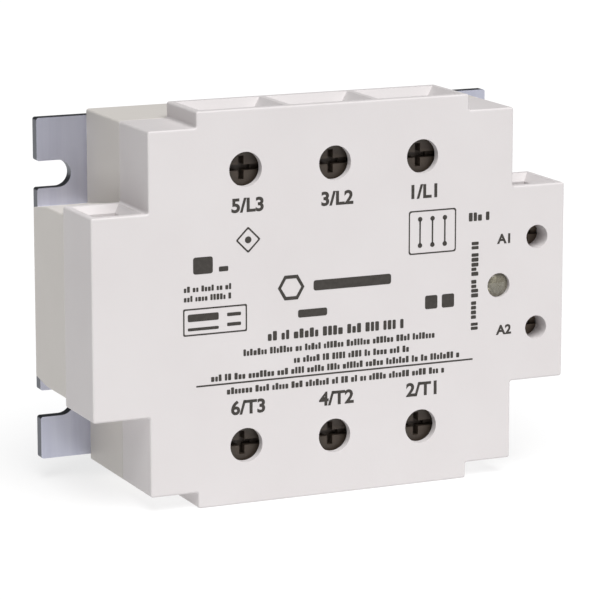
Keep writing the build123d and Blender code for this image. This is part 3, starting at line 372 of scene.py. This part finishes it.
# ---------------------------------------------------------------- printing on the front face
INK_PROUD = 0.03 * MM
INK_SUNK = 0.05 * MM
PRINT_SEED = 11


def on_front(outline, x, z, depth):
    """Outline stood up on the front face about a point, at a depth behind the face."""
    return np.column_stack([outline[:, 0] + x, np.full(len(outline), FRONT_Y + depth), outline[:, 1] + z])


def ink_patch(outline, x, z):
    """Printed patch: the outline drawn just in front of the face and just inside it, and closed."""
    count = len(outline)
    points = np.concatenate([on_front(outline, x, z, -INK_PROUD), on_front(outline, x, z, INK_SUNK)])
    turn = np.arange(count)
    return points, band(0, count, count) + [turn.tolist(), (turn[::-1] + count).tolist()]


def ink_frame(outline, line, x, z):
    """Printed closed line: rings of the outline and its inset copy, each at the front and sunk levels."""
    size = outline.max(axis=0)
    inset = outline * ((size - line) / size)
    levels = ((outline, -INK_PROUD), (outline, INK_SUNK), (inset, INK_SUNK), (inset, -INK_PROUD))
    points = np.concatenate([on_front(ring, x, z, depth) for ring, depth in levels])
    count = len(outline)
    faces = []
    for level in range(len(levels)):
        faces += band(level * count, (level + 1) % len(levels) * count, count)
    return points, faces


def bar(half_x, half_z, corner, x, z):
    """Rounded bar of ink, in millimetres from the middle of the front face."""
    return ink_patch(rounded_outline(half_x * MM, half_z * MM, corner * MM), x * MM, z * MM)


CAP_SHARE = 0.72            # height of a capital in the built-in font, as a share of its size
WELD = 1e-7                 # corners of a letter's face and edge that coincide are one
LETTER_WIDEN = 1.06
STROKE_SHARE = 0.035        # ink spreads the strokes by this share of a letter's height
STROKE_SPREAD = 0.03 * MM   # and by this much at any height


def lettering(words, height, x, z):
    """Characters as a thin solid: drawn flat, made a mesh, welded, then stood up on the front face."""
    curve = bpy.data.curves.new(words, "FONT")
    curve.body = words
    curve.size = height / CAP_SHARE
    curve.align_x = "CENTER"
    curve.extrude = (INK_PROUD + INK_SUNK) / 2
    curve.offset = STROKE_SHARE * height + STROKE_SPREAD
    curve.resolution_u = 4
    flat = bpy.data.objects.new(words, curve)
    bpy.context.scene.collection.objects.link(flat)
    mesh = bpy.data.meshes.new_from_object(flat)
    welded = bmesh.new()
    welded.from_mesh(mesh)
    bmesh.ops.remove_doubles(welded, verts=welded.verts, dist=WELD)
    bmesh.ops.recalc_face_normals(welded, faces=welded.faces)
    welded.to_mesh(mesh)
    welded.free()
    points = np.empty(len(mesh.vertices) * 3)
    mesh.vertices.foreach_get("co", points)
    points = points.reshape(-1, 3)
    faces = [list(face.vertices) for face in mesh.polygons]
    bpy.data.objects.remove(flat)
    bpy.data.meshes.remove(mesh)
    level = FRONT_Y + (INK_SUNK - INK_PROUD) / 2
    across = points[:, 0] * LETTER_WIDEN + x
    up = points[:, 1] - height / 2 + z
    return np.column_stack([across, level - points[:, 2], up]), faces


# Height of the terminal numbers, and where they stand from their screw, in millimetres
POWER_NUMBER = {"height": 2.75, "right": 0.45, "upper_row": -7.05, "lower_row": 7.9}
CONTROL_NUMBER = {"height": 1.95, "right": -7.4, "up": 0.2}


def terminal_numbers():
    """Terminal numbers and letters as the wiring standard gives them, between the screw holes."""
    parts = []
    for label, words in POWER_LABELS.items():
        screw = middle(f"terminal_screw_{label}")
        up = POWER_NUMBER["upper_row" if label[0] == "L" else "lower_row"]
        x, z = screw.x + POWER_NUMBER["right"] * MM, screw.z + up * MM
        parts.append(lettering(words, POWER_NUMBER["height"] * MM, x, z))
    for label in CONTROL_LABELS:
        screw = middle(f"terminal_screw_{label}")
        x, z = screw.x + CONTROL_NUMBER["right"] * MM, screw.z + CONTROL_NUMBER["up"] * MM
        parts.append(lettering(label, CONTROL_NUMBER["height"] * MM, x, z))
    return joined("printed_terminal_numbers", parts)


# Rows of blocks in place of wording: left end, right end, height on the face, letter height, in mm
WORD_ROWS = (
    (-14.7, 16.2, -6.1, 2.4),
    (-20.0, 22.6, -9.0, 1.7),
    (-9.0, 17.0, -11.4, 1.7),
    (-27.0, 28.4, -13.6, 1.7),
    (-23.6, 24.7, -16.5, 1.7),
    (-32.7, -22.4, 4.8, 1.5),
    (-32.7, -22.4, 2.9, 1.5),
    (30.0, 34.8, 14.7, 2.2),
)
LETTERS_IN_WORD = (2, 8)            # random from the first to below the second
# Shares of the letter height
BLOCK_WIDTH = (0.28, 0.42)
BLOCK_HALF_HEIGHTS = (0.29, 0.4)    # small letters and capitals
BLOCK_CORNER = 0.08
LETTER_GAP, WORD_GAP = 0.11, 0.42
LEAST_ROOM = 0.3


def word_blocks(x_from, x_to, z, height, rng):
    """Row of small upright blocks standing in for letters, in groups of random length for words."""
    parts, x, left = [], x_from, rng.integers(*LETTERS_IN_WORD)
    while x < x_to - height * LEAST_ROOM:
        width = height * rng.uniform(*BLOCK_WIDTH)
        tall = height * rng.choice(BLOCK_HALF_HEIGHTS)
        outline = rounded_outline(width / 2, tall, height * BLOCK_CORNER, steps=3)
        parts.append(ink_patch(outline, x + width / 2, z + tall - height * BLOCK_HALF_HEIGHTS[1]))
        left -= 1
        x += width + height * (LETTER_GAP if left > 0 else WORD_GAP)
        left = left if left > 0 else rng.integers(*LETTERS_IN_WORD)
    return parts


def plain_marks():
    """Plain blocks, frames and dots where the real front has wording and marks, and the long rule."""
    rng = np.random.default_rng(PRINT_SEED)
    parts = []
    for row in WORD_ROWS:
        x_from, x_to, z, height = (size * MM for size in row)
        parts += word_blocks(x_from, x_to, z, height, rng)
    parts.append(bar(30.7, 0.16, 0.1, 0.5, -14.95))
    parts += maker_block() + approval_blocks() + wiring_picture() + side_column(rng)
    return joined("printed_plain_marks", parts)


def maker_block():
    """Blank nameplate: a hexagon and a plain wide bar, with a short bar below."""
    sixth = np.arange(6) * math.pi / 3
    hexagon = 2.9 * MM * np.stack([np.cos(sixth), np.sin(sixth)], axis=1)
    frame_line = ink_frame(hexagon, 0.7 * MM, -9.6 * MM, 3.4 * MM)
    return [frame_line, bar(8.6, 1.05, 0.5, 3.9, 3.4), bar(3.2, 0.8, 0.4, -4.9, -2.1)]


def approval_blocks():
    """Blank patches on the left and right where marks of approval would go."""
    diamond = turned_outline(rounded_outline(1.9 * MM, 1.9 * MM, 0.3 * MM), 45)
    plate = rounded_outline(6.85 * MM, 2.75 * MM, 0.3 * MM)
    return [
        ink_frame(diamond, 0.45 * MM, -18.9 * MM, 13.8 * MM),
        bar(0.7, 0.7, 0.69, -18.9, 13.8),
        bar(2.1, 1.7, 0.5, -28.6, 9.4),
        bar(1.0, 0.5, 0.2, -24.2, 8.4),
        ink_frame(plate, 0.3 * MM, -26.05 * MM, -1.85 * MM),
        bar(3.3, 0.75, 0.3, -28.6, -1.0),
        bar(3.3, 0.3, 0.2, -28.6, -3.3),
        bar(1.5, 0.35, 0.2, -22.0, -0.9),
        bar(1.5, 0.35, 0.2, -22.0, -2.9),
        bar(1.4, 1.4, 0.4, 21.6, -2.2),
        bar(1.4, 1.4, 0.4, 25.4, -2.2),
    ]


def wiring_picture():
    """Framed picture of three poles: a dot at each end of three plain lines."""
    x, z = 21.75, 12.4
    outline = rounded_outline(5.35 * MM, 4.5 * MM, 0.5 * MM)
    parts = [ink_frame(outline, 0.28 * MM, x * MM, z * MM)]
    for pole in (-1, 0, 1):
        pole_x = x + pole * 2.8
        parts.append(bar(0.17, 2.4, 0.1, pole_x, z))
        parts += [bar(0.5, 0.5, 0.49, pole_x, z + end * 2.7) for end in (-1, 1)]
    return parts


SIDE_COLUMN_X = 31.5 * MM


def side_column(rng):
    """Row of blocks beside the lamp, turned to run down the face."""
    parts = []
    for points, faces in word_blocks(-9.5 * MM, 9.0 * MM, 0.0, 2.0 * MM, rng):
        turned = np.column_stack([SIDE_COLUMN_X + points[:, 2], points[:, 1], -points[:, 0]])
        parts.append((turned, faces))
    return parts


# ---------------------------------------------------------------- lamp's inner frame
CUP_BEHIND_TIP = 3.6 * MM
CUP_ABOVE_AXIS = 0.55 * MM
POST_BELOW_AXIS = 1.25 * MM
LEAD_END = 4.4
# Radius, and depth behind the cup's rim, in millimetres
CUP_RIM = [(0.0, 0.55), (0.35, 0.5), (0.75, 0.0), (0.95, 0.0), (0.95, 1.3), (0.28, 1.7)]
CUP = CUP_RIM + [(0.28, LEAD_END), (0.0, LEAD_END)]
POST = [(0.0, 0.35), (0.42, 0.35), (0.55, 0.6), (0.32, 1.6), (0.32, LEAD_END), (0.0, LEAD_END)]


def lamp_frame():
    """Lead frame inside the clear lamp: a dished cup on one post, and a flat-topped post beside it."""
    low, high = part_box("status_led")
    centre = Vector(((low.x + high.x) / 2, 0, (low.z + high.z) / 2))
    cup_level = low.y + CUP_BEHIND_TIP
    assert cup_level + LEAD_END * MM < high.y
    pieces = []
    for name, sizes, up in (
        ("lamp_reflector_cup", CUP, CUP_ABOVE_AXIS),
        ("lamp_contact_post", POST, -POST_BELOW_AXIS),
    ):
        profile = [(radius * MM, cup_level + depth * MM) for radius, depth in sizes]
        pieces.append(revolved(name, profile, centre + Vector((0, 0, up))))
    return pieces


# ---------------------------------------------------------------- finishes of the CAD nodes
POWER_SCREW_TONES = ("40372f", "493f36")
CONTROL_SCREW_TONES = ("6b5d50", "776a5d")

# Nodes, finish, dark and light tones, patch size in mm, roughness limits, grain depth in mm
METALS = (
    # zinc plate that has dulled: mid grey with brownish patches
    (("clamp_plate",), "steel_zinc_plated_clamp", "6f6c66", "8b8880", 1.5, (0.35, 0.5), 0.008),
    # dipped tin: pale warm grey with a soft, slightly milky shine
    (("busbar", "control_bar"), "copper_tin_plated_bar", "b7b5b0", "cbc9c4", 2.5, (0.28, 0.4), 0.008),
    # tinned drawn wire: the same pale grey, with a tighter shine
    (("component_leads", "gate_pins"), "copper_tin_plated_lead", "b3b2ae", "cfcdc9", 0.8, (0.25, 0.38), 0.008),
    # bare rolled copper: salmon, darker where it has tarnished
    (("tile_copper", "chip_straps"), "copper_bare_rolled", "b5694a", "cf8663", 1.8, (0.3, 0.45), 0.008),
    # nickel laid on polished silicon: cool grey, smooth and close to a mirror
    (("thyristor_pair",), "silicon_nickel_metallised", "6f727a", "8d9098", 3.0, (0.2, 0.3), 0.002),
)

# Nodes, finish, dark and light tones, patch size in mm, roughness limits
CASES = (
    # sintered alumina: off-white and chalky
    (("ceramic_tile",), "alumina_sintered", "e8e5de", "f3f1ec", 4.0, (0.4, 0.55)),
    # transfer-moulded epoxy: charcoal black and dull
    (("opto_coupler", "bridge_rectifier"), "epoxy_moulded_black", "1c1c1d", "2b2b2c", 4.0, (0.45, 0.6)),
    # film capacitor's moulded box: amber, with a satin shine
    (("snubber_capacitors", "input_capacitor"), "film_capacitor_case", "b98a2a", "cda03c", 4.0, (0.3, 0.42)),
    # heat-shrunk sleeve: blue-black, tight and rather glossy
    (("filter_capacitor",), "capacitor_sleeve_shrunk", "17171d", "24242c", 4.0, (0.25, 0.35)),
    # dipped epoxy coat: deep blue, with a satin skin
    (("input_varistor",), "varistor_epoxy_dipped", "25497d", "305a93", 4.0, (0.28, 0.4)),
    # glazed thick film: black, with a glassy top
    (("chip_resistors",), "thick_film_glazed", "141414", "262626", 1.0, (0.2, 0.3)),
    # extruded silicone: pale grey and rubbery dull
    (("sealing_bead",), "silicone_sealant_extruded", "b9b8b2", "cac9c4", 4.0, (0.4, 0.55)),
)


def dress(node, material):
    """Puts a material on a CAD node."""
    slots = frame["nodes"][node].data.materials
    slots.clear()
    slots.append(material)


def dress_like(prefixes, material):
    """Puts one material on every CAD node whose name starts with one of the prefixes."""
    for node in frame["nodes"]:
        if node.startswith(prefixes):
            dress(node, material)


def dress_all():
    """Every CAD node's finish."""
    # the base is a shade warmer than the cover: a painted warm tint for the light that falls on the relay's sides
    dress("front_cover", moulded_housing("pbt_moulded_cover", "cec9c9", "d5d1d1"))
    dress("base_housing", moulded_housing("pbt_moulded_base", "cbc6c1", "d3cfca"))
    dress("base_plate", rolled_plate("nickel_plated_rolled_plate"))
    for node in frame["nodes"]:
        if node.startswith("terminal_screw"):
            tones = CONTROL_SCREW_TONES if node.endswith(CONTROL_LABELS) else POWER_SCREW_TONES
            dress(node, headed_screw(node, *tones))
    for prefixes, *finish in METALS:
        dress_like(prefixes, metal(*finish))
    for prefixes, *finish in CASES:
        dress_like(prefixes, moulded_case(*finish))
    for node, axis in (("snubber_resistors", "X"), ("input_resistors", "Z")):
        centre = getattr(middle(node), axis.lower())
        name = f"resistor_lacquered_{node.split('_')[0]}"
        dress(node, banded_resistor(name, axis, centre))
    dress("control_board", masked_board())
    dress("silicone_gel", cured_gel())
    dress("status_led", clear_epoxy())


dress_all()

ink = printed_ink()
for piece in (terminal_numbers(), plain_marks()):
    piece.data.materials.append(ink)
    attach(piece, HOUSING_BODY)

# silver plate inside the lamp: bright and nearly white, with a satin shine
lead_frame_metal = metal("copper_silver_plated_frame", "c3c2bd", "dcdbd6", 0.6, (0.18, 0.3), 0.008)
for piece in lamp_frame():
    piece.data.materials.append(lead_frame_metal)
    piece.data.shade_smooth()
    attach(piece, HOUSING_BODY)


# ---------------------------------------------------------------- floor, light and camera
FLOOR_HALF = 4.0
FLOOR_GLOW = 0.75
FLOOR_PATCH = 400.0         # mm
WHITE = (1.0, 1.0, 1.0, 1.0)
WORLD_LIGHT = 0.12          # how brightly the white surroundings light the relay
WORLD_SEEN = 1.0            # and how bright they are behind it
LIGHT_TOWARDS = (0.04, 0.51, -0.86)
LIGHT_SPREAD = 50.0         # degrees: as wide as a large soft box
LIGHT_STRENGTH = 3.68
SENSOR_MM, LENS_MM = 36.0, 199.65
CAMERA_PLACE = (-0.27444, -0.62994, 0.13520)
CAMERA_HEADING = (0.40131, 0.89332, -0.20233)


def studio_floor():
    """Wide pale floor under the relay's lower edge, of acrylic lit from behind: even and nearly white."""
    corners = ((-1, -1), (1, -1), (1, 1), (-1, 1))
    points = np.array([(x * FLOOR_HALF, y * FLOOR_HALF, LOWEST_Z) for x, y in corners])
    floor = mesh_piece("studio_floor", points, [[0, 1, 2, 3]])
    glow = {"Roughness": 0.9, "Emission_Color": WHITE, "Emission_Strength": FLOOR_GLOW}
    material, tree, shader, coords = finish_of("floor_back_lit_acrylic", **glow)
    mottle(tree, shader, coords.outputs["Object"], "888888", "8c8c8c", FLOOR_PATCH)
    floor.data.materials.append(material)


def aimed(name, data, towards):
    """Light or camera in the scene, looking in the given direction."""
    looking = bpy.data.objects.new(name, data)
    bpy.context.scene.collection.objects.link(looking)
    looking.rotation_euler = Vector(towards).to_track_quat("-Z", "Y").to_euler()
    return looking


def studio():
    """White surroundings that light only dimly, under one large soft light high in front."""
    world = bpy.data.worlds.new("white_surroundings")
    world.use_nodes = True
    bpy.context.scene.world = world
    background = world.node_tree.nodes["Background"]
    background.inputs["Color"].default_value = WHITE
    seen = add(world.node_tree, "ShaderNodeLightPath").outputs["Is Camera Ray"]
    levels = {"Value": seen, "To Min": WORLD_LIGHT, "To Max": WORLD_SEEN}
    glow = add(world.node_tree, "ShaderNodeMapRange", levels)
    world.node_tree.links.new(glow.outputs["Result"], background.inputs["Strength"])
    light = bpy.data.lights.new("overhead_soft_light", "SUN")
    light.angle = math.radians(LIGHT_SPREAD)
    light.energy = LIGHT_STRENGTH
    aimed("overhead_soft_light", light, LIGHT_TOWARDS)
    bpy.context.scene.view_settings.view_transform = "Standard"


def product_camera():
    """Long lens from the left and a little above, as such parts are shown."""
    data = bpy.data.cameras.new("product_camera")
    data.sensor_width = SENSOR_MM
    data.lens = LENS_MM
    camera = aimed("product_camera", data, CAMERA_HEADING)
    camera.location = CAMERA_PLACE
    bpy.context.scene.camera = camera


studio_floor()
studio()
product_camera()
